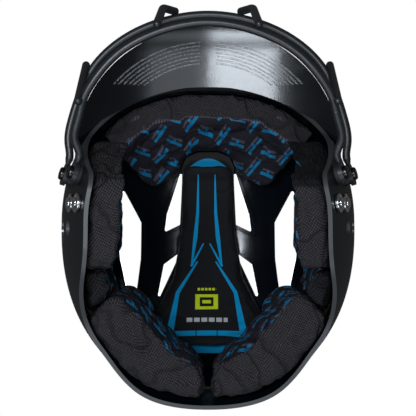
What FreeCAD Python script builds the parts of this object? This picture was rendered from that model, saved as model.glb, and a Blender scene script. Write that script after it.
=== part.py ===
import FreeCAD, Part

import math
import os

from FreeCAD import Vector

# Batting helmet with double ear flaps and a bolted wire face guard, size large.
# Millimetres. +Z is up, the face looks along -Y, and +X is the wearer's left.
# The helmet stands on the feet of its two ear flaps, at Z = 0.

# Skull form: a dome over a belt, and under the belt a wall that tucks in towards the jaw
HALF_WIDTH = 116.0
SKULL_Y = 16.0
FRONT_LENGTH = 114.0
BACK_LENGTH = 126.0
PLAN_POWER = 2.3
DOME_POWER = 2.15
BELT_Z = 100.0
CROWN_Z = 213.0
FLAP_TUCK = 29.0
NAPE_TUCK = 6.0
TUCK_POWER = 1.6
NAPE_FLARE = 10.5
FLARE_TOP = 72.0
FLARE_RUN = 30.0
DOME_SHARE = 0.55
GRID = 29
FLOOR_Z = -20.0

# Shell moulding
WALL = 3.0
POCKET_DEPTH = 1.3
POCKET_MARGIN = 4.0
VENT_FILLET = 1.2
EAR_Y = 17.0
EAR_Z = 73.0
EAR_HOLE_RADIUS = 12.5
SOUND_Y = 15.0
SOUND_Z = 42.0
SOUND_HOLE_RADIUS = 6.3

# Brim: a plate that falls forwards and droops to both sides
BRIM_ROOT_Z = 114.0
BRIM_FALL = 0.083
BRIM_ARCH = 0.00265
BRIM_Y = -45.0
BRIM_HALF_WIDTH = 103.0
BRIM_REACH = 101.0
BRIM_WALL = 3.0

# Face guard wire and its fixings
WIRE_RADIUS = 3.0
EYE_RADIUS = 8.5
EYE_WALL = 3.2
NECK = 12.0
SPACER_RADIUS = 7.1
SPACER_WALL = 3.0
SCREW_Y = -24.0
CHIN_SCREW_Z = 28.0
UPPER_SCREW_Z = 57.0
SCREW_RADIUS = 2.4
SCREW_HEAD_RADIUS = 4.9
SCREW_HEAD_HEIGHT = 2.8
THREAD_GAP = 0.05
NUT_BARREL_RADIUS = 3.6
NUT_FLANGE_RADIUS = 7.0
NUT_FLANGE_WALL = 1.2

# Chin strap snaps
SNAP_Y = -3.5
SNAP_HEIGHTS = (14.0, 31.0)
SNAP_BASE_RADIUS = 7.0
SNAP_KNOB_RADIUS = 4.0
SNAP_HEIGHT = 4.0
RIVET_RADIUS = 1.6
RIVET_HEAD_RADIUS = 4.0

# Padding: how far each layer lies inside the outer surface of the shell
LINER_OUTSIDE = 3.8
LINER_INSIDE = 9.5
FRONT_PAD_INSIDE = 28.0
REAR_PAD_INSIDE = 38.0
NAPE_ROLL_FLARE = 7.0
ROLL_OUTSIDE = 4.5
ROLL_TOP = 121.0
PAD_OUTSIDE = 10.0
SIDE_PAD_OUTSIDE = 9.0
SIDE_PAD_INSIDE = 25.0
EAR_PAD_OUTSIDE = 7.0
EAR_PAD_INSIDE = 28.5
EAR_PAD_HOLE_RADIUS = 13.5
PATCH_RADIUS = 11.0
PATCH_WALL = 1.4
CROWN_BASE_OUTSIDE = 4.9
CROWN_BASE_INSIDE = 8.9
CROWN_PAD_OUTSIDE = 9.6
CROWN_STEP = 15.0
CROWN_PAD_INSIDE = 20.0

os.makedirs("parts", exist_ok=True)


def save(name, *solids):
    """Write one sub-part, made of one or more separate solids."""
    shape = solids[0] if len(solids) == 1 else Part.makeCompound(solids)
    shape.exportStep("parts/" + name + ".step")


def smooth(t):
    """An S curve from 0 to 1."""
    t = min(max(t, 0.0), 1.0)
    return t * t * (3 - 2 * t)


# The skull form

def belt_radius(phi, inset):
    """Distance from the skull's axis to the belt in plan direction phi."""
    length = BACK_LENGTH if math.sin(phi) > 0 else FRONT_LENGTH
    across = (abs(math.cos(phi)) / (HALF_WIDTH - inset)) ** PLAN_POWER
    along = (abs(math.sin(phi)) / (length - inset)) ** PLAN_POWER
    return (across + along) ** (-1 / PLAN_POWER)


def wall_radius(phi, z, inset, flare):
    """Distance from the skull's axis to the wall below the belt."""
    back = max(0.0, math.sin(phi))
    tuck = FLAP_TUCK - (FLAP_TUCK - NAPE_TUCK) * back**2
    tuck *= (1 - z / BELT_Z) ** TUCK_POWER
    out = flare * smooth((FLARE_TOP - z) / FLARE_RUN) * smooth((back - 0.75) / 0.25)
    return belt_radius(phi, inset) - tuck + out


def skull_point(u, v, inset, flare):
    """A point of the form: the crown is at u = v = 0 and the floor runs round u, v = 1 and -1."""
    p = u * math.sqrt(1 - v * v / 2)
    q = v * math.sqrt(1 - u * u / 2)
    r = min(1.0, math.hypot(p, q))
    phi = math.atan2(q, p)
    if r <= DOME_SHARE:
        psi = math.pi / 2 * r / DOME_SHARE
        s = math.sin(psi)
        h = max(0.0, math.cos(psi))
        k = (s**DOME_POWER + h**DOME_POWER) ** (-1 / DOME_POWER)
        radius = belt_radius(phi, inset) * s * k
        z = BELT_Z + (CROWN_Z - BELT_Z - inset) * h * k
    else:
        z = BELT_Z - (r - DOME_SHARE) / (1 - DOME_SHARE) * (BELT_Z - FLOOR_Z)
        radius = wall_radius(phi, z, inset, flare)
    return Vector(radius * math.cos(phi), SKULL_Y + radius * math.sin(phi), z)


def skull_solid(inset, flare=0.0):
    """The form as a closed solid, inset from the shell's outer surface."""
    steps = [-1 + 2 * i / (GRID - 1) for i in range(GRID)]
    surface = Part.BSplineSurface()
    surface.interpolate([[skull_point(u, v, inset, flare) for v in steps] for u in steps])
    dome = surface.toShape()
    base = Part.Face(Part.Wire(Part.__sortEdges__(dome.Edges)))
    solid = Part.Solid(Part.Shell([dome, base]))
    if solid.Volume < 0:
        solid.reverse()
    return solid


def wall_point(side, y, z, inset=0.0):
    """The point of the lower wall at place y and height z, on side -1 or 1 in X."""
    x = HALF_WIDTH
    for _ in range(60):
        radius = wall_radius(math.atan2(y - SKULL_Y, x), z, inset, 0.0)
        x = math.sqrt(max(1.0, radius**2 - (y - SKULL_Y) ** 2))
    return Vector(side * x, y, z)


def wall_normal(side, y, z):
    """The outward direction of the lower wall there."""
    along = wall_point(side, y + 1, z) - wall_point(side, y - 1, z)
    up = wall_point(side, y, z + 1) - wall_point(side, y, z - 1)
    normal = along.cross(up) * side
    return normal.normalize()


# Outlines, prisms and paths

def rounded_edges(points, radii, closed=False):
    """Straight runs joined by tangent arcs, with one radius for each turn."""
    count = len(points)
    turns = range(count) if closed else range(1, count - 1)
    cuts = {}
    for i in turns:
        here = points[i]
        a = (points[i - 1] - here).normalize()
        b = (points[(i + 1) % count] - here).normalize()
        cut = radii[i] * math.tan((math.pi - a.getAngle(b)) / 2)
        middle = (a + b).normalize() * (math.hypot(radii[i], cut) - radii[i])
        cuts[i] = (here + a * cut, here + middle, here + b * cut)
    edges = []
    last = cuts[count - 1][2] if closed else points[0]
    for i in range(count):
        if i in cuts:
            start, middle, end = cuts[i]
            edges.append(Part.makeLine(last, start))
            edges.append(Part.Arc(start, middle, end).toShape())
            last = end
    if not closed:
        edges.append(Part.makeLine(last, points[-1]))
    return edges


def plan_prism(outline, radius, low, high):
    """A rounded outline in X and Y, raised from low to high."""
    points = [Vector(x, y, low) for x, y in outline]
    wire = Part.Wire(rounded_edges(points, [radius] * len(points), closed=True))
    return Part.Face(wire).extrude(Vector(0, 0, high - low))


def side_prism(outline, low, high):
    """A rounded outline of (y, z, corner radius), drawn across from X = low to high."""
    points = [Vector(low, y, z) for y, z, radius in outline]
    radii = [radius for y, z, radius in outline]
    wire = Part.Wire(rounded_edges(points, radii, closed=True))
    return Part.Face(wire).extrude(Vector(high - low, 0, 0))


def grown(outline, margin):
    """The outline moved out by a margin."""
    count = len(outline)
    area = 0
    for i in range(count):
        area += outline[i - 1][0] * outline[i][1] - outline[i][0] * outline[i - 1][1]
    turn = 1 if area > 0 else -1
    result = []
    for i, (x, y) in enumerate(outline):
        before = outline[i - 1]
        after = outline[(i + 1) % count]
        a = Vector(x - before[0], y - before[1], 0).normalize()
        b = Vector(after[0] - x, after[1] - y, 0).normalize()
        normal_a = Vector(a.y, -a.x, 0) * turn
        normal_b = Vector(b.y, -b.x, 0) * turn
        corner = (normal_a + normal_b).normalize()
        reach = margin / max(0.5, corner.dot(normal_a))
        result.append((x + corner.x * reach, y + corner.y * reach))
    return result


def mirrored(shape):
    """The same solid on the other side of the head."""
    return shape.mirror(Vector(0, 0, 0), Vector(1, 0, 0))


def both_sides(shapes):
    """Solids for the left side of the head, and the same for the right."""
    return shapes + [mirrored(shape) for shape in shapes]


def placed(shape, point, direction):
    """A shape made on the Z axis, moved to a point with its Z axis along a direction."""
    moved = shape.copy()
    moved.Placement = FreeCAD.Placement(point, FreeCAD.Rotation(Vector(0, 0, 1), direction))
    return moved


def rod(path, start, direction):
    """Round wire along a path."""
    circle = Part.Wire(Part.makeCircle(WIRE_RADIUS, start, direction))
    return Part.Wire(path).makePipeShell([circle], True, True)


def layer(region, outside, inside, flare=0.0):
    """The part of a region between two depths under the shell's outer surface."""
    return region.common(skull_solid(outside, flare)).cut(skull_solid(inside))


# Shell

def brim():
    """The brim's plate, from inside the forehead wall to its rounded outline."""
    xs = [-125 + 25 * i for i in range(11)]
    ys = [-170 + 20 * i for i in range(9)]
    root_y = SKULL_Y - FRONT_LENGTH
    rows = []
    for x in xs:
        ridge = BRIM_ROOT_Z - BRIM_ARCH * x * x
        rows.append([Vector(x, y, ridge - BRIM_FALL * (root_y - y)) for y in ys])
    surface = Part.BSplineSurface()
    surface.interpolate(rows)
    plate = surface.toShape().extrude(Vector(0, 0, -BRIM_WALL))
    ellipse = Part.Ellipse(Vector(0, BRIM_Y, 0), BRIM_HALF_WIDTH, BRIM_REACH)
    rim = Part.Arc(ellipse, math.pi, 2 * math.pi).toShape()
    chord = Part.makeLine(rim.Vertexes[-1].Point, rim.Vertexes[0].Point)
    outline = Part.Face(Part.Wire([rim, chord])).extrude(Vector(0, 0, 200))
    return plate.common(outline)


def edge_profile():
    """All that lies above the shell's lower edge, seen from the side."""
    return side_prism([
        (190, 300, 5),
        (-190, 300, 5),
        (-190, 112, 5),
        (-100, 112, 20),
        (-58, 88, 16),
        (-22, 0, 16),
        (40, 0, 36),
        (84, 33, 40),
        (116, 41.5, 40),
        (190, 42, 5),
    ], -200, 200)


def vent_outlines():
    """Plan outlines of the three crown vents on the left side."""
    front = [(22.6, -38), (25.3, 15.2), (39, 21.8), (37, 6)]
    rear = [(24.5, 39.5), (39.5, 50.5), (46, 86)]
    outer = [
        (74.5, -17),
        (59.5, 13),
        (59.8, 45),
        (63.5, 80),
        (69, 81),
        (77, 45),
        (80, 10),
    ]
    return [front, rear, outer]


def fixing_points(side):
    """Where screws and rivets pass through one ear flap."""
    places = [(SCREW_Y, z, NUT_BARREL_RADIUS) for z in (CHIN_SCREW_Z, UPPER_SCREW_Z)]
    places += [(SNAP_Y, z, RIVET_RADIUS) for z in SNAP_HEIGHTS]
    fixings = []
    for y, z, radius in places:
        fixings.append((wall_point(side, y, z), wall_normal(side, y, z), radius + THREAD_GAP))
    return fixings


def shell():
    """The moulded shell with its brim, vents, ear holes and drilled holes."""
    skull = skull_solid(0, NAPE_FLARE).common(edge_profile())
    body = skull.fuse(brim()).cut(skull_solid(WALL, NAPE_FLARE))
    sunk = skull_solid(POCKET_DEPTH)
    raised = skull_solid(WALL - 0.8).cut(skull_solid(WALL + POCKET_DEPTH))
    for outline in vent_outlines():
        pocket = plan_prism(grown(outline, POCKET_MARGIN), POCKET_MARGIN, 125, 230)
        for area in (pocket, mirrored(pocket)):
            body = body.cut(area.cut(sunk)).fuse(area.common(raised))
    for outline in vent_outlines():
        vent = plan_prism(outline, VENT_FILLET, 125, 230)
        body = body.cut(vent).cut(mirrored(vent))
    for y, z, radius in ((EAR_Y, EAR_Z, EAR_HOLE_RADIUS), (SOUND_Y, SOUND_Z, SOUND_HOLE_RADIUS)):
        body = body.cut(Part.makeCylinder(radius, 300, Vector(-150, y, z), Vector(1, 0, 0)))
    for side in (-1, 1):
        for point, normal, radius in fixing_points(side):
            body = body.cut(Part.makeCylinder(radius, 20, point - normal * 10, normal))
    return body


# Face guard

def eye_centre(side, z):
    """Middle of the flattened eye at a bar's end."""
    return wall_point(side, SCREW_Y, z) + wall_normal(side, SCREW_Y, z) * (SPACER_WALL + EYE_WALL / 2)


def bar(screw_z, path):
    """One guard bar: bent wire with a flattened eye at each end. The path runs to the middle."""
    points = [Vector(*p) for p in path]
    centre = eye_centre(1, screw_z)
    normal = wall_normal(1, SCREW_Y, screw_z)
    heading = points[0] - centre
    heading = (heading - normal * heading.dot(normal)).normalize()
    start = centre + heading * NECK
    curve = Part.BSplineCurve()
    curve.interpolate(
        Points=[start] + points, InitialTangent=heading, FinalTangent=Vector(-1, 0, 0), Scale=False
    )
    wire = rod([curve.toShape()], start, heading)
    neck_start = SPACER_RADIUS + 0.15
    neck_point = centre + heading * neck_start
    neck = Part.makeCone(EYE_WALL / 2, WIRE_RADIUS, NECK - neck_start, neck_point, heading)
    disc = Part.makeCylinder(EYE_RADIUS, EYE_WALL, Vector(0, 0, -EYE_WALL / 2))
    hole = Part.makeCylinder(SCREW_RADIUS + 0.2, 20, Vector(0, 0, -10))
    half = wire.fuse(neck).fuse(placed(disc, centre, normal)).cut(placed(hole, centre, normal))
    return half.fuse(mirrored(half))


def chin_bar():
    """The lower bar, round the jaw."""
    return bar(CHIN_SCREW_Z, [
        (96, -49, 22),
        (93.3, -63, 19),
        (89.3, -77, 16.2),
        (82, -90, 14),
        (62.5, -111, 12),
        (34, -125.5, 10.6),
        (0, -131.5, 10),
    ])


def upper_bar():
    """The upper bar, in front of the nose."""
    return bar(UPPER_SCREW_Z, [
        (105.4, -49, 57.4),
        (103, -66.5, 57.5),
        (97.5, -84, 57.5),
        (88, -104, 57.5),
        (65.4, -126.5, 57.5),
        (34, -141, 57.5),
        (0, -146, 57.5),
    ])


def post(points, bends):
    """A short round-ended wire, sunk a little into both bars where it is welded."""
    path = [Vector(*p) for p in points]
    wire = rod(rounded_edges(path, bends), path[0], (path[1] - path[0]).normalize())
    for end in (path[0], path[-1]):
        wire = wire.fuse(Part.makeSphere(WIRE_RADIUS, end))
    return wire


def fitted(shape, side, y, z, start):
    """A fixing turned about the hole at (y, z), starting a distance out from the wall."""
    point = wall_point(side, y, z)
    normal = wall_normal(side, y, z)
    return placed(shape, point + normal * start, normal)


def guard_spacer(z, skull):
    """Round spacer between the ear flap and an eye, shaped to the wall on its inner face."""
    disc = Part.makeCylinder(SPACER_RADIUS, SPACER_WALL + 3)
    disc = disc.cut(Part.makeCylinder(SCREW_RADIUS + 0.2, 10))
    return fitted(disc, 1, SCREW_Y, z, -3).cut(skull)


def guard_screw(z):
    """Pan head screw with a cross recess, through eye, spacer and shell into its nut."""
    length = SPACER_WALL + EYE_WALL + WALL + 2
    head = Part.makeCylinder(SCREW_HEAD_RADIUS, SCREW_HEAD_HEIGHT)
    head = head.makeFillet(1.6, [e for e in head.Edges if e.BoundBox.ZMin > SCREW_HEAD_HEIGHT - 0.01])
    shank = Part.makeCylinder(SCREW_RADIUS, length, Vector(0, 0, -length))
    recess = Part.makeBox(4.8, 1.0, 2, Vector(-2.4, -0.5, SCREW_HEAD_HEIGHT - 1.5))
    recess = recess.fuse(Part.makeBox(1.0, 4.8, 2, Vector(-0.5, -2.4, SCREW_HEAD_HEIGHT - 1.5)))
    return fitted(shank.fuse(head).cut(recess), 1, SCREW_Y, z, SPACER_WALL + EYE_WALL)


def guard_nut(z):
    """Tee nut: a flange inside the ear flap and a threaded barrel in its hole."""
    flange = Part.makeCylinder(NUT_FLANGE_RADIUS, NUT_FLANGE_WALL)
    barrel = Part.makeCylinder(NUT_BARREL_RADIUS, NUT_FLANGE_WALL + WALL - 0.5)
    nut = flange.fuse(barrel).cut(Part.makeCylinder(SCREW_RADIUS + THREAD_GAP, 20, Vector(0, 0, -5)))
    return fitted(nut, 1, SCREW_Y, z, -WALL - 0.7 - NUT_FLANGE_WALL)


# Chin strap snaps

def snap_stud(z):
    """Outer half of a snap: a dished ring with a round knob in its middle."""
    base = Part.makeCylinder(SNAP_BASE_RADIUS, 1.4, Vector(0, 0, 0.5))
    ring = Part.makeTorus(SNAP_BASE_RADIUS - 1.0, 0.9, Vector(0, 0, 1.9))
    neck = Part.makeCylinder(SNAP_KNOB_RADIUS - 0.6, SNAP_HEIGHT - 1, Vector(0, 0, 1))
    knob = Part.makeTorus(SNAP_KNOB_RADIUS - 1.2, 1.2, Vector(0, 0, SNAP_HEIGHT - 0.8))
    stud = base.fuse(ring).fuse(neck).fuse(knob)
    return fitted(stud.cut(Part.makeCylinder(RIVET_RADIUS + THREAD_GAP, 20)), 1, SNAP_Y, z, 0)


def snap_rivet(z):
    """Rivet that holds a snap: a flat head inside the ear flap and a stem through the stud."""
    head = Part.makeCylinder(RIVET_HEAD_RADIUS, 0.9)
    stem = Part.makeCylinder(RIVET_RADIUS, WALL + 1.5 + SNAP_HEIGHT)
    return fitted(head.fuse(stem), 1, SNAP_Y, z, -WALL - 1.5)


# Padding

def band(low, high):
    """The space between two heights."""
    return Part.makeBox(400, 400, high - low, Vector(-200, -200, low))


def crown_clearance():
    """The space taken by the crown's coloured sheet, with a gap round it."""
    return plan_prism(grown(base_outline(), 1.5), 6, 60, 240)


def front_region(margin, low, high=230):
    """Where the forehead padding lies: a broad band with a lobe up each side of the crown."""
    half = [(0, -45), (26, -29), (52, -17), (88, -62), (80, -115)]
    outline = half + [(-x, y) for x, y in reversed(half[1:])]
    return plan_prism(grown(outline, margin), 7, low, high)


def nape_region(low, high):
    """Where the left nape pad lies below the belt: it runs almost straight from ear to nape."""
    outline = [
        (2.5, 127),
        (2.5, 158),
        (70, 158),
        (96, 87.8),
        (70, 63),
        (58, 69),
        (43, 87),
        (28, 103),
        (11, 113.5),
    ]
    return plan_prism(outline, 3, low, high)


def rear_region(margin, low, high):
    """Where the upper left rear padding lies, clear of the crown tongue."""
    outline = [(2.5, 84), (2.5, 158), (70, 158), (96, 87.8), (70, 63), (50, 66), (30, 84)]
    return plan_prism(grown(outline, margin), 4, low, high).cut(crown_clearance())


def front_liner():
    """Firm foam bonded to the shell behind the forehead pad, clear of the crown sheet."""
    region = front_region(-3, ROLL_TOP + 1).cut(crown_clearance())
    return layer(region, LINER_OUTSIDE, LINER_INSIDE)


def rear_liner():
    """Firm foam bonded to the shell behind both nape pads."""
    return layer(rear_region(-3, 70, 140), LINER_OUTSIDE, LINER_INSIDE)


def front_pad():
    """Forehead pad, notched round the crown tongue, with a roll along its edge by the brim."""
    pad = layer(front_region(0, 110).cut(crown_clearance()), PAD_OUTSIDE, FRONT_PAD_INSIDE)
    return pad.fuse(layer(front_region(0, 110, ROLL_TOP), ROLL_OUTSIDE, PAD_OUTSIDE + 2))


def rear_pad():
    """Left nape pad: a thick roll at the nape, and a thinner part that leans in over the head."""
    pad = layer(nape_region(38, 100), PAD_OUTSIDE, REAR_PAD_INSIDE + 4)
    pad = pad.fuse(layer(nape_region(38, 66), ROLL_OUTSIDE, REAR_PAD_INSIDE, NAPE_ROLL_FLARE))
    return pad.fuse(layer(rear_region(0, 92, 142), PAD_OUTSIDE, REAR_PAD_INSIDE))


def side_pad():
    """Left mesh pad behind the ear."""
    outline = [(58, 46), (124, 46), (112, 100.5), (72, 62), (58, 61.5)]
    region = plan_prism(outline, 4, 26, 142)
    return layer(region, SIDE_PAD_OUTSIDE, SIDE_PAD_INSIDE)


def ear_region():
    """Where the left ear pad lies, seen from the side."""
    return side_prism([
        (44, 8, 8),
        (-19, 8, 12),
        (-53, 84, 12),
        (-47, 106, 10),
        (-18, 110, 10),
        (-12, 152, 8),
        (44, 152, 8),
    ], 20, 140)


def ear_pad():
    """Left ear pad, with a hole that lets sound through from the ear hole."""
    hole = Part.makeCylinder(EAR_PAD_HOLE_RADIUS, 140, Vector(20, EAR_Y, EAR_Z), Vector(1, 0, 0))
    return layer(ear_region(), EAR_PAD_OUTSIDE, EAR_PAD_INSIDE).cut(hole)


def hook_patches():
    """Hook and loop discs on the left of the shell, where the ear pad presses on."""
    patches = []
    for y, z in ((-32, 82), (32, 42), (38, 92)):
        disc = Part.makeCylinder(PATCH_RADIUS, 14)
        point = wall_point(1, y, z)
        normal = wall_normal(1, y, z)
        region = placed(disc, point - normal * 9, normal)
        patches.append(layer(region, LINER_OUTSIDE, LINER_OUTSIDE + PATCH_WALL))
    return patches


def crown_outline(half):
    """Plan outline across the head from the left half of it, front to back."""
    return half + [(-x, y) for x, y in reversed(half)]


def base_outline():
    """Outline of the coloured sheet, which is rounded at both ends."""
    return crown_outline([
        (9, -49),
        (19, -45),
        (23, -36),
        (24, 22),
        (31, 61),
        (49, 97),
        (46, 108),
        (34, 117),
        (14, 122.5),
    ])


def crown_base():
    """Coloured foam sheet under the crown tongue, showing past both its ends."""
    return layer(plan_prism(base_outline(), 4, 126, 230), CROWN_BASE_OUTSIDE, CROWN_BASE_INSIDE)


def crown_pad():
    """Crown tongue pad: narrower at the face that touches the head than at its back."""
    back = crown_outline([(17, -43), (22.5, -36), (23.5, 22), (30, 61), (48, 97), (44, 106), (22, 115.5)])
    face = crown_outline([(13, -41), (18, -34), (19, 20), (25.5, 61), (43, 97), (41, 105), (21, 114)])
    pad = layer(plan_prism(back, 4, 126, 230), CROWN_PAD_OUTSIDE, CROWN_STEP)
    return pad.fuse(layer(plan_prism(face, 4, 126, 230), CROWN_STEP - 0.5, CROWN_PAD_INSIDE))


def save_pair(name, left):
    """Write a sub-part of the left side of the head, and its mirror image on the right."""
    save(name + "_left", left)
    save(name + "_right", mirrored(left))


# The assembly, from the shell inwards and then the guard

save("shell", shell())
save("front_liner", front_liner())
save("rear_liners", *both_sides([rear_liner()]))
save("crown_base", crown_base())
save("crown_pad", crown_pad())
save("front_pad", front_pad())
save("hook_patches", *both_sides(hook_patches()))
save_pair("ear_pad", ear_pad())
save_pair("side_pad", side_pad())
save_pair("rear_pad", rear_pad())

save("guard_chin_bar", chin_bar())
save("guard_upper_bar", upper_bar())
save_pair("guard_center_post", post([(36, -129.8, 7), (33.3, -148.0, 42), (25, -148.6, 58)], [0, 14, 0]))
save_pair("guard_side_post", post([(92.2, -76, 11), (92.6, -108.5, 62)], [0, 0]))

skull_form = skull_solid(-0.05)
screw_heights = (CHIN_SCREW_Z, UPPER_SCREW_Z)
save("guard_spacers", *both_sides([guard_spacer(z, skull_form) for z in screw_heights]))
save("guard_screws", *both_sides([guard_screw(z) for z in screw_heights]))
save("guard_nuts", *both_sides([guard_nut(z) for z in screw_heights]))
save("snap_studs", *both_sides([snap_stud(z) for z in SNAP_HEIGHTS]))
save("snap_rivets", *both_sides([snap_rivet(z) for z in SNAP_HEIGHTS]))
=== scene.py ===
import math

import bmesh
import bpy
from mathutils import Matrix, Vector, noise


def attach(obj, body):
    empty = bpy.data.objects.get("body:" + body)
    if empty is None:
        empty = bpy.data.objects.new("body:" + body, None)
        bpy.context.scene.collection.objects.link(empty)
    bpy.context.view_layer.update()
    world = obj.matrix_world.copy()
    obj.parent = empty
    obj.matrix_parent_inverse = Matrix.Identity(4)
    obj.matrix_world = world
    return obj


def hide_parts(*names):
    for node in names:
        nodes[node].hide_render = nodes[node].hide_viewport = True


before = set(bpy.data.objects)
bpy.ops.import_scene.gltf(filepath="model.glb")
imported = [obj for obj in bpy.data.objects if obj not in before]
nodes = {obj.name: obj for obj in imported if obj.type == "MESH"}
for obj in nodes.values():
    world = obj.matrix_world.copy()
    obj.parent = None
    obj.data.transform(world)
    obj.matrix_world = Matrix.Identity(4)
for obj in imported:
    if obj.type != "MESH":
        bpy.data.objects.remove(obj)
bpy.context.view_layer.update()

scene = bpy.context.scene


class Field:
    """A value that varies over a surface, in a material's node tree."""

    def __init__(self, tree, socket):
        self.tree = tree
        self.socket = socket

    def plug(self, value, socket):
        if isinstance(value, Field):
            self.tree.links.new(value.socket, socket)
        else:
            socket.default_value = value

    def make(self, kind, inputs, output=0, **settings):
        """Any other node: inputs is a dict of socket name or number to value."""
        node = self.tree.nodes.new(kind)
        for key, value in settings.items():
            setattr(node, key, value)
        for key, value in inputs.items():
            self.plug(value, node.inputs[key])
        return Field(self.tree, node.outputs[output])

    def math(self, operation, *values):
        return self.make("ShaderNodeMath", dict(enumerate(values)), operation=operation)

    def __add__(self, other):
        return self.math("ADD", self, other)

    def __radd__(self, other):
        return self.math("ADD", other, self)

    def __sub__(self, other):
        return self.math("SUBTRACT", self, other)

    def __rsub__(self, other):
        return self.math("SUBTRACT", other, self)

    def __mul__(self, other):
        return self.math("MULTIPLY", self, other)

    def __rmul__(self, other):
        return self.math("MULTIPLY", other, self)

    def __truediv__(self, other):
        return self.math("DIVIDE", self, other)

    def __rtruediv__(self, other):
        return self.math("DIVIDE", other, self)

    def __abs__(self):
        return self.math("ABSOLUTE", self)

    def under(self, limit, soft):
        """1 where the value is under a limit, falling to 0 over a soft width above it."""
        return self.make(
            "ShaderNodeMapRange",
            {"Value": self, "From Min": limit, "From Max": limit + soft,
             "To Min": 1.0, "To Max": 0.0},
        )

    def most(self, other):
        """The larger of two values."""
        return self.math("MAXIMUM", self, other)

    def fract(self):
        return self.math("FRACT", self)

    def floor(self):
        return self.math("FLOOR", self)

    def root(self):
        return self.math("SQRT", self)

    def noise(self, scale, detail=2.0, stretch=(1, 1, 1)):
        """Noise at a scale per metre of the piece's own coordinates."""
        place = self.make("ShaderNodeTexCoord", {}, output="Object")
        place = self.make("ShaderNodeVectorMath", {0: place, 1: stretch}, operation="MULTIPLY")
        return self.make("ShaderNodeTexNoise", {"Vector": place, "Scale": scale, "Detail": detail})

    def colour(self, first, second):
        """A mix of two colours by this value."""
        node = self.tree.nodes.new("ShaderNodeMix")
        node.data_type = "RGBA"
        self.plug(self, node.inputs[0])
        for value, socket in ((first, node.inputs[6]), (second, node.inputs[7])):
            self.plug(value if isinstance(value, Field) else (*value, 1), socket)
        return Field(self.tree, node.outputs[2])


class Finish:
    """A material with its surface coordinates in millimetres."""

    def __init__(self, name, **constants):
        self.material = bpy.data.materials.new(name)
        self.material.use_nodes = True
        self.tree = self.material.node_tree
        self.shader = self.tree.nodes["Principled BSDF"]
        for key, value in constants.items():
            self.shader.inputs[key.replace("_", " ")].default_value = value
        start = Field(self.tree, None)
        place = start.make("ShaderNodeTexCoord", {}, output="Object")
        node = self.tree.nodes.new("ShaderNodeSeparateXYZ")
        start.plug(place, node.inputs[0])
        self.x, self.y, self.z = (Field(self.tree, node.outputs[i]) * 1000 for i in range(3))
        self.any = start

    def attribute(self, name):
        return self.any.make("ShaderNodeAttribute", {}, output="Fac", attribute_name=name)

    def facing(self, centre):
        """How far the surface faces towards a point, from -1 to 1."""
        normal = self.any.make("ShaderNodeNewGeometry", {}, output="True Normal")
        place = self.any.make("ShaderNodeTexCoord", {}, output="Object")
        towards = self.any.make(
            "ShaderNodeVectorMath", {0: centre, 1: place}, operation="SUBTRACT")
        towards = self.any.make("ShaderNodeVectorMath", {0: towards}, operation="NORMALIZE")
        return self.dot(towards, normal)

    def dot(self, first, second):
        return self.any.make(
            "ShaderNodeVectorMath", {0: first, 1: second},
            output="Value", operation="DOT_PRODUCT")

    def set(self, socket, value):
        self.any.plug(value, self.shader.inputs[socket])

    def bump(self, height, depth_mm, strength=1.0):
        self.set("Normal", self.any.make(
            "ShaderNodeBump",
            {"Strength": strength, "Distance": depth_mm / 1000, "Height": height}))

    def put(self, obj, slot):
        obj.data.materials.clear()
        obj.data.materials.append(self.material)


# The shell is one black moulding. Its outside is fine matt, and its inside and the brim's
# underside are left glossy from the mould. Its cut lower edge is painted a lighter grey, a painted
# highlight.
# Two blocks of fine raised dashes follow the brim's curve.
shell = nodes["shell"]
finish = Finish("shell plastic", Specular_IOR_Level=0.5)
dome_centre = (0.0, 0.016, 0.075)
inside = 1 - finish.facing(dome_centre).under(-0.05, 0.1)
normal = finish.any.make("ShaderNodeNewGeometry", {}, output="True Normal")
normal_x = finish.dot(normal, (1, 0, 0))
normal_z = finish.dot(normal, (0, 0, 1))

brim_root = 99
brim_underside = (finish.y + brim_root).under(0.0, 1.0) * normal_z.under(-0.2, 0.2)
gloss = inside.most(brim_underside)
grain = finish.any.noise(900.0)
cloud = finish.any.noise(22.0)
streak = finish.any.noise(14.0, 3.0, (1, 5, 1))

curve_centre, curve_radius, curve_half_width = 37, 88.5, 9.5
row_pitch = 2.8
row_start, row_end = 6.5, 80.0
across = abs(finish.x)
reach = (across * across + (finish.y + curve_centre) * (finish.y + curve_centre)).root()
rows = abs((reach / row_pitch).fract() - 0.5).under(0.17, 0.08)
breaks = finish.any.noise(1100.0, 1.0).under(0.52, 0.05)
block = abs(reach - curve_radius).under(curve_half_width, 0.5)
block = block * (0 - across).under(-row_start, 0.5) * across.under(row_end, 4.0)
dashes = rows * breaks * block * brim_underside

# The cut lower edge, where it faces down, is painted a lighter grey: a painted highlight along the
# rim.
edge_highlight_top = 95.0
edge_highlight = abs(normal_x).under(0.02, 0.02) * normal_z.under(-0.35, 0.1)
edge_highlight = edge_highlight * finish.z.under(edge_highlight_top, 5.0)
dark = cloud.colour((0.002, 0.003, 0.005), (0.004, 0.006, 0.009))
dark = (dashes * 0.8).colour(dark, (0.26, 0.27, 0.28))
finish.set("Base Color", edge_highlight.colour(dark, (0.045, 0.047, 0.050)))
finish.set("Roughness", 0.42 - gloss * 0.32 + cloud * 0.05 + streak * 0.05)
finish.bump(grain + dashes * 2 + streak * gloss * 3, 0.06, 0.4)
finish.put(shell, "shell_plastic")
for polygon in shell.data.polygons:
    polygon.use_smooth = True


# Firm black foam is bonded to the shell behind the forehead and nape pads. It takes the force of
# a blow, and the softer pads lie on it.
finish = Finish("firm foam", Roughness=0.8, Specular_IOR_Level=0.3)
cells = finish.any.noise(700.0, 3.0)
finish.set("Base Color", cells.colour((0.003, 0.003, 0.0035), (0.008, 0.008, 0.009)))
finish.bump(cells, 0.2, 0.6)
for name in ("front_liner", "rear_liners"):
    finish.put(nodes[name], "firm_foam")


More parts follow.
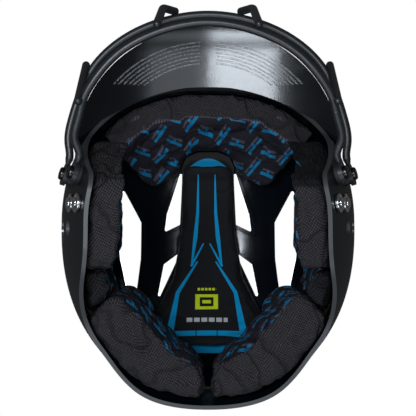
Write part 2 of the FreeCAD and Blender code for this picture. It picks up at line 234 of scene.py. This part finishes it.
# Discs of hook-and-loop tape are glued to the shell behind each ear pad. The pads press onto
# them and peel off again for washing.
finish = Finish("hook tape", Roughness=0.95, Specular_IOR_Level=0.2)
loops = finish.any.noise(1500.0, 3.0)
finish.set("Base Color", loops.colour((0.008, 0.008, 0.009), (0.024, 0.024, 0.026)))
finish.bump(loops, 0.4, 0.8)
finish.put(nodes["hook_patches"], "hook_tape")


# The crown tongue lies on a sheet of bright blue foam that shows past both its ends, as a
# crescent at the front. What lies beyond the crescent is coloured black.
finish = Finish("blue foam", Roughness=0.6)
cells = finish.any.noise(600.0, 3.0)
crescent_curve, crescent_front = 0.028, 43.5
crescent = (finish.x * finish.x * crescent_curve - finish.y).under(crescent_front, 0.5)
front_end = (finish.y + 30).under(0.0, 1.0) * crescent
back_end = 1 - finish.y.under(102.0, 1.0)
blue = cells.colour((0.0, 0.24, 0.50), (0.0, 0.32, 0.62))
finish.set("Base Color", (front_end + back_end).colour((0.004, 0.004, 0.005), blue))
finish.bump(cells, 0.15, 0.5)
finish.put(nodes["crown_base"], "blue_foam")


def bake(obj):
    """Turns an object's modifiers into its mesh."""
    graph = bpy.context.evaluated_depsgraph_get()
    mesh = bpy.data.meshes.new_from_object(obj.evaluated_get(graph))
    obj.modifiers.clear()
    obj.data = mesh


head_centre = Vector((0, 0.016, 0.09))
last_frame = 20


def cushion(node, voxel, pressure, reach):
    """A sewn cushion grown from a pad's plain solid: its skin is filled and settles as cloth,
    and no point moves further than its reach."""
    obj = bpy.data.objects.new(node + "_cushion", nodes[node].data.copy())
    obj.data.name = obj.name
    scene.collection.objects.link(obj)
    obj.data.materials.clear()
    mesh = bmesh.new()
    mesh.from_mesh(obj.data)
    bmesh.ops.remove_doubles(mesh, verts=mesh.verts, dist=1e-5)
    bmesh.ops.recalc_face_normals(mesh, faces=mesh.faces)
    mesh.to_mesh(obj.data)
    mesh.free()
    remesh = obj.modifiers.new("skin", "REMESH")
    remesh.mode = "VOXEL"
    remesh.voxel_size = voxel
    round_off = obj.modifiers.new("round", "SMOOTH")
    round_off.factor = 0.5
    round_off.iterations = 4
    bake(obj)
    rest = [v.co.copy() for v in obj.data.vertices]
    cloth = obj.modifiers.new("cloth", "CLOTH")
    settings = cloth.settings
    settings.quality = 6
    settings.mass = 0.15
    settings.tension_stiffness = 18
    settings.compression_stiffness = 12
    settings.bending_stiffness = 0.6
    settings.shrink_min = -0.03
    settings.use_pressure = True
    settings.uniform_pressure_force = pressure
    settings.effector_weights.gravity = 0
    pins = obj.vertex_groups.new(name="backing")
    backing = [v.index for v in obj.data.vertices
               if v.normal.dot((v.co - head_centre).normalized()) > 0.6]
    pins.add(backing, 1.0, "REPLACE")
    settings.vertex_group_mass = "backing"
    cloth.point_cache.frame_start = 1
    cloth.point_cache.frame_end = last_frame
    for step in range(1, last_frame + 1):
        scene.frame_set(step)
    bake(obj)
    scene.frame_set(1)
    for vertex, start in zip(obj.data.vertices, rest):
        move = vertex.co - start
        if move.length > reach:
            vertex.co = start + move * (reach / move.length)
    finer = obj.modifiers.new("finer", "SUBSURF")
    finer.levels = finer.render_levels = 1
    bake(obj)
    for polygon in obj.data.polygons:
        polygon.use_smooth = True
    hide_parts(node)
    return obj


def gather(obj, depth):
    """Puckers a cushion's cloth inwards, in soft folds with a few narrow creases."""
    moves = []
    for vertex in obj.data.vertices:
        fold = noise.noise(vertex.co * 60) + 0.6 * noise.noise(vertex.co * 130)
        crease = max(0.0, 1 - abs(noise.noise(vertex.co * 42)) * 7)
        moves.append(vertex.normal * (min(0.0, fold) - 0.4 * crease) * depth)
    for vertex, move in zip(obj.data.vertices, moves):
        vertex.co += move


def map_pad(obj, centre, flat=False):
    """Marks the faces that touch the head, lays their print out flat or round the head, and
    then gathers the cloth."""
    head_radius, head_height = 78, 95
    mesh = obj.data
    head = mesh.attributes.new("head_side", "FLOAT", "POINT")
    around = mesh.attributes.new("around", "FLOAT", "POINT")
    upward = mesh.attributes.new("upward", "FLOAT", "POINT")
    for vertex in mesh.vertices:
        away = vertex.co - centre
        head.data[vertex.index].value = -vertex.normal.dot(away.normalized())
        if flat:
            around.data[vertex.index].value = vertex.co.x * 1000
            upward.data[vertex.index].value = vertex.co.y * -1000
        else:
            around.data[vertex.index].value = math.atan2(away.x, -away.y) * head_radius
            rise = math.atan2(away.z, math.hypot(away.x, away.y))
            upward.data[vertex.index].value = rise * head_height
    gather(obj, 0.0032)


def woven(across, up, place, angle, reach):
    """Short printed bars, each with a paler dash beside it, repeated over the cloth."""
    wide, tall, column_drop, thread = 26.0, 17.0, 0.48, 1.9
    column = (across - place[0]) / wide
    level = (up - place[1]) / tall - column.floor() * column_drop
    a = (column.fract() - 0.5) * wide
    b = (level.fract() - 0.5) * tall
    length = a * math.cos(angle) + b * math.sin(angle)
    width = b * math.cos(angle) - a * math.sin(angle)
    marks = abs((length / thread).fract() - 0.5).under(0.40, 0.08)
    bar = abs(width).under(1.0, 0.3) * abs(length).under(reach, 0.4) * marks
    bar = bar.most(abs(width - 2.6).under(0.9, 0.3) * abs(length).under(1.0, 0.3))
    dash = abs(width - 3.4).under(0.8, 0.3) * abs(length).under(reach - 0.8, 0.4) * marks
    return bar, dash


def knit(name, ground, pitch, dark_front=-999.0):
    """Charcoal knit with a lattice of small holes; where it touches the head, cloth printed with
    pairs of short bars laid as a basket weave, and a pale line of stitches between the two."""
    finish = Finish(name, Roughness=0.92, Specular_IOR_Level=0.2)
    across = finish.attribute("around")
    up = finish.attribute("upward")
    u = (finish.x + finish.y * 0.6 + finish.z * 0.5) / pitch
    v = (finish.y - finish.x * 0.6 + finish.z * 0.8) / pitch
    hole = (abs(u.fract() - 0.5) + abs(v.fract() - 0.5)).under(0.28, 0.25)
    cloud = finish.any.noise(45.0, 3.0)
    fleck = finish.any.noise(750.0)
    cloth = cloud.colour([c * 0.6 for c in ground], [c * 1.3 for c in ground])
    cloth = ((fleck - 0.35) * 2.2).colour(cloth, [c * 1.9 for c in ground])
    cloth = (hole * 0.8).colour(cloth, [c * 0.2 for c in ground])
    # In front of dark_front the cloth is darkened towards near black.
    cloth = (finish.y.under(dark_front, 2.0) * 0.75).colour(cloth, (0.003, 0.003, 0.004))
    steep = woven(across, up, (0.0, 0.0), math.radians(50), 7.6)
    shallow = woven(across, up, (11.0, 10.5), math.radians(-18), 6.2)
    printed = fleck.colour((0.006, 0.006, 0.009), (0.040, 0.036, 0.050))
    for bar, dash in (steep, shallow):
        printed = (dash * 0.8).colour(printed, (0.13, 0.11, 0.15))
        printed = bar.colour(printed, (0.006, 0.25, 0.52))
    # Narrow wrinkle lines are dented by the bump and darkened in colour; the darkening is painted
    # shade in the creases.
    shaded_wrinkle = abs(finish.any.noise(24.0, 1.5) - 0.5).under(0.004, 0.022)
    head = finish.attribute("head_side")
    touch = 1 - head.under(0.42, 0.08)
    stitch_pitch = 2.4
    stitch = abs((across / stitch_pitch).fract() - 0.5).under(0.3, 0.1)
    stitch = abs(head - 0.46).under(0.03, 0.05) * stitch
    # Painted shade: the wrinkle lines are mixed towards near black.
    both = (shaded_wrinkle * 0.3).colour(touch.colour(cloth, printed), (0.002, 0.002, 0.003))
    finish.set("Base Color", (stitch * 0.5).colour(both, (0.18, 0.16, 0.21)))
    creases = finish.any.noise(60.0, 3.0, (1, 1, 0.35))
    finish.bump(hole * -0.7 + fleck * 0.8 + creases * 4.0 - shaded_wrinkle * 1.6, 0.9, 1.0)
    return finish


# The forehead pad is a sewn cushion, with charcoal knit along its edge and printed cloth where
# it touches the head.
charcoal_ground, charcoal_pitch = (0.034, 0.031, 0.034), 1.9
charcoal = knit("charcoal knit", charcoal_ground, charcoal_pitch)
front = cushion("front_pad", 0.004, 4.0, 0.004)
map_pad(front, head_centre, flat=True)
charcoal.put(front, "pad_cloth")
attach(front, "helmet")


# Each ear pad is a thick cushion of the same cloths, with a hole for sound. The left one's cloth
# is darker towards its front end.
darker_front_end = -16.0
darker_front_knit = knit("knit darker at front", charcoal_ground, charcoal_pitch, darker_front_end)
for side, cloth in (("left", darker_front_knit), ("right", charcoal)):
    name = "ear_pad_" + side
    pad = cushion(name, 0.004, 4.0, 0.004)
    map_pad(pad, head_centre)
    cloth.put(pad, "pad_cloth")
    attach(pad, name)


# Behind each ear is a thinner pad of open dark mesh. It fills the space between the ear pad
# and the nape pad.
mesh_knit = knit("dark mesh", (0.013, 0.012, 0.014), 2.6)
for side in ("left", "right"):
    pad = cushion("side_pad_" + side, 0.004, 3.0, 0.003)
    map_pad(pad, head_centre)
    mesh_knit.put(pad, "mesh_cloth")
    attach(pad, "helmet")


# Two thick nape pads meet at the back of the head with a narrow gap between them. They are
# sewn from the same cloths as the forehead pad.
for side in ("left", "right"):
    pad = cushion("rear_pad_" + side, 0.0045, 4.0, 0.005)
    map_pad(pad, head_centre)
    charcoal.put(pad, "pad_cloth")
    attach(pad, "helmet")


# The crown tongue is a long soft pad of black cloth over the top of the head. Blue lines are
# printed along both its sides and across its end, with a plain lime tag between them.
def stroke(x, y, ax, ay, wide_a, bx, by, wide_b):
    """A straight stroke in plan between two points, with a half width at each."""
    dx, dy = bx - ax, by - ay
    t = ((x - ax) * dx + (y - ay) * dy) / (dx * dx + dy * dy)
    t = t.make("ShaderNodeClamp", {"Value": t})
    ex = x - ax - t * dx
    ey = y - ay - t * dy
    distance = (ex * ex + ey * ey).root()
    return (distance - t * (wide_b - wide_a)).under(wide_a, 0.3)


tongue = cushion("crown_pad", 0.003, 2.0, 0.002)
front_start, front_share = -0.025, 0.68
for vertex in tongue.data.vertices:
    if vertex.co.y < front_start:
        vertex.co.y = front_start + (vertex.co.y - front_start) * front_share
finish = Finish("crown cloth", Roughness=0.88, Specular_IOR_Level=0.25)
weave = finish.any.noise(1200.0, 2.0)
cloth = weave.colour((0.006, 0.006, 0.007), (0.016, 0.015, 0.017))
middle, end_line, tag_centre, dot_row, small_row = 1.2, 106.6, 82, 71.5, 96.5
side = abs(finish.x + middle)
bottom = abs(finish.y - end_line).under(1.7, 0.3) * side.under(32.0, 0.5)
lines = bottom * (1 - abs(side - 9).under(0.35, 0.2))
for ends in ((7.4, -29, 0.3, 8.0, 4, 1.1), (8.0, 4, 1.1, 10, 26, 1.7),
             (10, 26, 1.7, 13.4, 51, 0.5), (3.0, 32, 0.4, 13.4, 51, 0.9),
             (8.4, 48, 0.5, 25.3, 74, 1.5), (25.3, 74, 1.5, 31.2, 105, 2.9)):
    lines = lines.most(stroke(side, finish.y, *ends))
plate = (side * 0.62).most(abs(finish.y - tag_centre))
tag = plate.under(6.0, 0.3) - plate.under(3.6, 0.3)
bar = side.under(3.6, 0.3) * abs(finish.y - tag_centre).under(1.2, 0.3)
dots = abs(finish.y - dot_row).under(0.9, 0.3) * side.under(8.0, 0.3)
dots = dots * abs((finish.x / 3.2).fract() - 0.5).under(0.3, 0.1)
lime = (tag + bar).most(dots)
white = abs(finish.y - small_row).under(1.5, 0.3) * side.under(18.0, 0.3)
white = white * abs((finish.x / 6.4).fract() - 0.5).under(0.36, 0.05)
cloth = lines.colour(cloth, (0.0, 0.33, 0.66))
cloth = lime.colour(cloth, (0.68, 0.80, 0.02))
cloth = white.colour(cloth, (0.55, 0.55, 0.57))
finish.set("Base Color", cloth)
finish.bump(weave, 0.25, 0.5)
finish.put(tongue, "crown_cloth")
gather(tongue, 0.0012)
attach(tongue, "crown_pad")


# The face guard is steel wire, bent and welded into one cage and dipped in black vinyl. Its
# ends are flattened into eyes that the screws pass through.
wire = Finish("guard vinyl", Coat_Weight=0.2, Coat_Roughness=0.3)
skin = wire.any.noise(250.0, 3.0)
wire.set("Base Color", skin.colour((0.010, 0.011, 0.013), (0.018, 0.020, 0.024)))
wire.set("Roughness", 0.34 + skin * 0.12)
wire.bump(skin, 0.15, 0.4)
for name in nodes:
    if name.startswith("guard_") and ("bar" in name or "post" in name):
        wire.put(nodes[name], "guard_wire")


# Four round rubber spacers sit between the eyes and the shell, so the wire stands clear of the
# flaps and doesn't rub them.
rubber = Finish("spacer rubber", Roughness=0.7)
dust = rubber.any.noise(400.0, 3.0)
rubber.set("Base Color", dust.colour((0.009, 0.009, 0.009), (0.016, 0.016, 0.017)))
rubber.put(nodes["guard_spacers"], "spacer_rubber")


# Four black pan head screws pass through the eyes, the spacers and the shell, into tee nuts of
# plated steel on the inside.
black_steel = Finish("black screws", Metallic=1.0)
wear = black_steel.any.noise(900.0, 2.0)
black_steel.set("Base Color", wear.colour((0.05, 0.05, 0.055), (0.10, 0.10, 0.11)))
black_steel.set("Roughness", 0.18 + wear * 0.15)
black_steel.put(nodes["guard_screws"], "screw_metal")

zinc = Finish("zinc nuts", Metallic=1.0)
wear = zinc.any.noise(500.0, 3.0)
zinc.set("Base Color", wear.colour((0.40, 0.40, 0.41), (0.52, 0.52, 0.53)))
zinc.set("Roughness", 0.35 + wear * 0.2)
zinc.put(nodes["guard_nuts"], "nut_metal")


# Four bright snaps on the flaps take a chin strap's sockets. Each is held by a rivet through
# the shell.
nickel = Finish("snap nickel", Metallic=1.0)
wear = nickel.any.noise(700.0, 2.0)
nickel.set("Base Color", wear.colour((0.62, 0.62, 0.63), (0.80, 0.80, 0.80)))
nickel.set("Roughness", 0.10 + wear * 0.12)
for name in ("snap_studs", "snap_rivets"):
    nickel.put(nodes[name], "snap_metal")


# Pale floor, a dim sky that only the camera sees as white, four softboxes and the camera, which
# looks straight up from under the flaps.
bpy.ops.mesh.primitive_plane_add(size=6, location=(0, 0, -0.002))
floor = bpy.context.object
floor.name = "floor"
finish = Finish("floor", Roughness=0.9)
finish.set("Base Color", finish.any.noise(3.0).colour((0.86, 0.86, 0.86), (0.90, 0.90, 0.90)))
floor.data.materials.append(finish.material)
floor.visible_shadow = False
floor.visible_diffuse = False
floor.visible_glossy = False
floor.visible_transmission = False

world = bpy.data.worlds.new("studio")
scene.world = world
world.use_nodes = True
sky = world.node_tree.nodes["Background"]
sky.inputs[0].default_value = (1, 1, 1, 1)
rays = world.node_tree.nodes.new("ShaderNodeLightPath")
strength = world.node_tree.nodes.new("ShaderNodeMapRange")
strength.inputs["To Min"].default_value = 0.08
strength.inputs["To Max"].default_value = 1.0
world.node_tree.links.new(rays.outputs["Is Camera Ray"], strength.inputs["Value"])
world.node_tree.links.new(strength.outputs[0], sky.inputs[1])
scene.view_settings.view_transform = "Standard"


def softbox(name, place, aim, size, power):
    data = bpy.data.lights.new(name, "AREA")
    data.shape = "RECTANGLE"
    data.size, data.size_y = size
    data.energy = power
    lamp = bpy.data.objects.new(name, data)
    scene.collection.objects.link(lamp)
    lamp.location = place
    lamp.rotation_euler = (Vector(aim) - Vector(place)).to_track_quat("-Z", "Y").to_euler()
    lamp.visible_camera = False
    data.color = (0.84, 0.92, 1.0)


softbox("key", (-0.19, -0.10, -0.72), (0.03, -0.10, 0.1), (0.17, 0.36), 3.9)
softbox("sheen", (0.15, -0.10, -0.72), (-0.02, -0.10, 0.1), (0.26, 0.36), 0.6)
softbox("back fill", (0.0, 0.50, -0.55), (0.0, 0.05, 0.1), (0.7, 0.3), 2.2)
softbox("top", (0.0, 0.1, 0.9), (0.0, 0.0, 0.1), (0.5, 0.5), 4.0)

camera_data = bpy.data.cameras.new("camera")
camera_data.lens = 86.8
camera_data.clip_start = 0.699
camera = bpy.data.objects.new("camera", camera_data)
scene.collection.objects.link(camera)
camera.location = (0, 0, -0.70)
camera.rotation_euler = (math.pi, 0, 0)
scene.camera = camera
